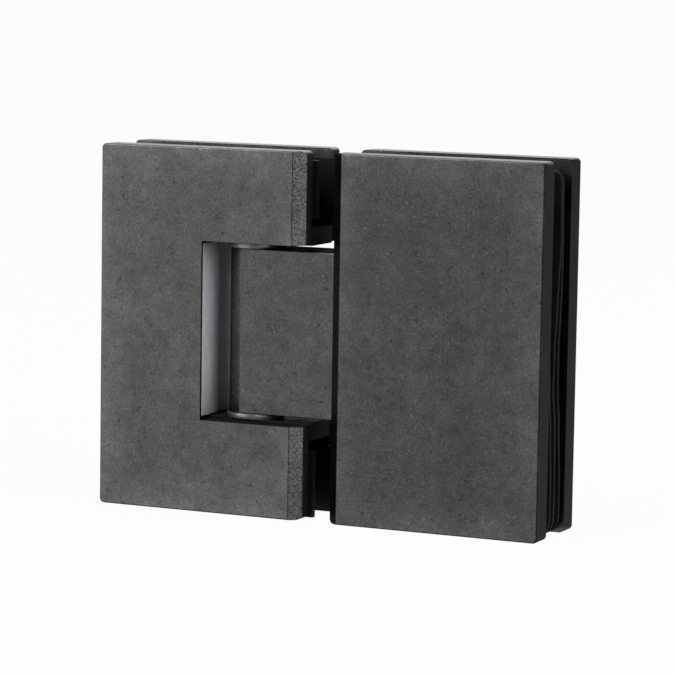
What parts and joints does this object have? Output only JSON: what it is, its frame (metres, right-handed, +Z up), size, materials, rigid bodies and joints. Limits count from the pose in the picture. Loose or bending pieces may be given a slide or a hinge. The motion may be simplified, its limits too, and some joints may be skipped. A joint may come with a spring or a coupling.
{
  "type": "glass-to-glass door hinge",
  "caption": "Straight glass-to-glass hinge: a U-shaped clamp leaf swings on a pin about a thick pivot block held by a plain rectangular clamp leaf.",
  "frame": {"origin": "centre of the closed hinge's bounding box", "axes": "+X along the width, from the U-shaped leaf to the rectangular leaf; +Y from the front plates to the rear plates; +Z up along the pivot"},
  "size_m": [0.1174, 0.0234, 0.09],
  "materials": {
    "gunmetal": "dark mottled gunmetal over solid brass",
    "smooth_metal": "smooth machined, blackened",
    "steel": "machined stainless",
    "gasket_rubber": "matt black sheet",
    "washer_plastic": "satin grey",
    "liner_nylon": "pale grey nylon",
    "sleeve_plastic": "black"
  },
  "bodies": {
    "block_leaf": {"block_front_plate": "gunmetal", "block_rear_plate": "gunmetal", "block_front_gasket": "gasket_rubber", "block_packing_gasket": "gasket_rubber", "block_rear_gasket": "gasket_rubber", "pivot_block": "gunmetal", "block_screw_upper": "steel", "block_screw_lower": "steel", "upper_bush": "sleeve_plastic", "lower_bush": "sleeve_plastic", "upper_washer": "washer_plastic", "lower_washer": "washer_plastic", "block_clamp_screw_upper": "steel", "block_clamp_screw_lower": "steel", "block_screw_sleeve_upper": "sleeve_plastic", "block_screw_sleeve_lower": "sleeve_plastic", "detent_spring_upper": "steel", "detent_spring_lower": "steel", "detent_plug_upper": "steel", "detent_plug_lower": "steel"},
    "yoke_leaf": {"yoke_front_plate": "gunmetal", "yoke_rear_plate": "gunmetal", "yoke_front_gasket": "gasket_rubber", "yoke_rear_gasket": "gasket_rubber", "pin_carrier": "smooth_metal", "cutout_liner": "liner_nylon", "carrier_screw_upper": "steel", "carrier_screw_lower": "steel", "pivot_pin": "steel", "pin_clip_upper": "steel", "pin_clip_lower": "steel", "yoke_clamp_screw_upper": "steel", "yoke_clamp_screw_lower": "steel", "yoke_screw_sleeve_upper": "sleeve_plastic", "yoke_screw_sleeve_lower": "sleeve_plastic"},
    "upper_plunger": {"detent_plunger_upper": "steel"},
    "lower_plunger": {"detent_plunger_lower": "steel"}
  },
  "joints": [
    {"name": "leaf_swing", "type": "hinge", "parent": "block_leaf", "child": "yoke_leaf", "pos_m": [-0.0212, 0, 0], "axis": [0, 0, 1], "range_deg": [-90, 90]},
    {"name": "upper_plunger_slide", "type": "slide", "parent": "block_leaf", "child": "upper_plunger", "axis": [1, 0, 0], "range_m": [0, 0.0008], "stiffness_N_per_m": 4000},
    {"name": "lower_plunger_slide", "type": "slide", "parent": "block_leaf", "child": "lower_plunger", "axis": [1, 0, 0], "range_m": [0, 0.0008], "stiffness_N_per_m": 4000}
  ]
}
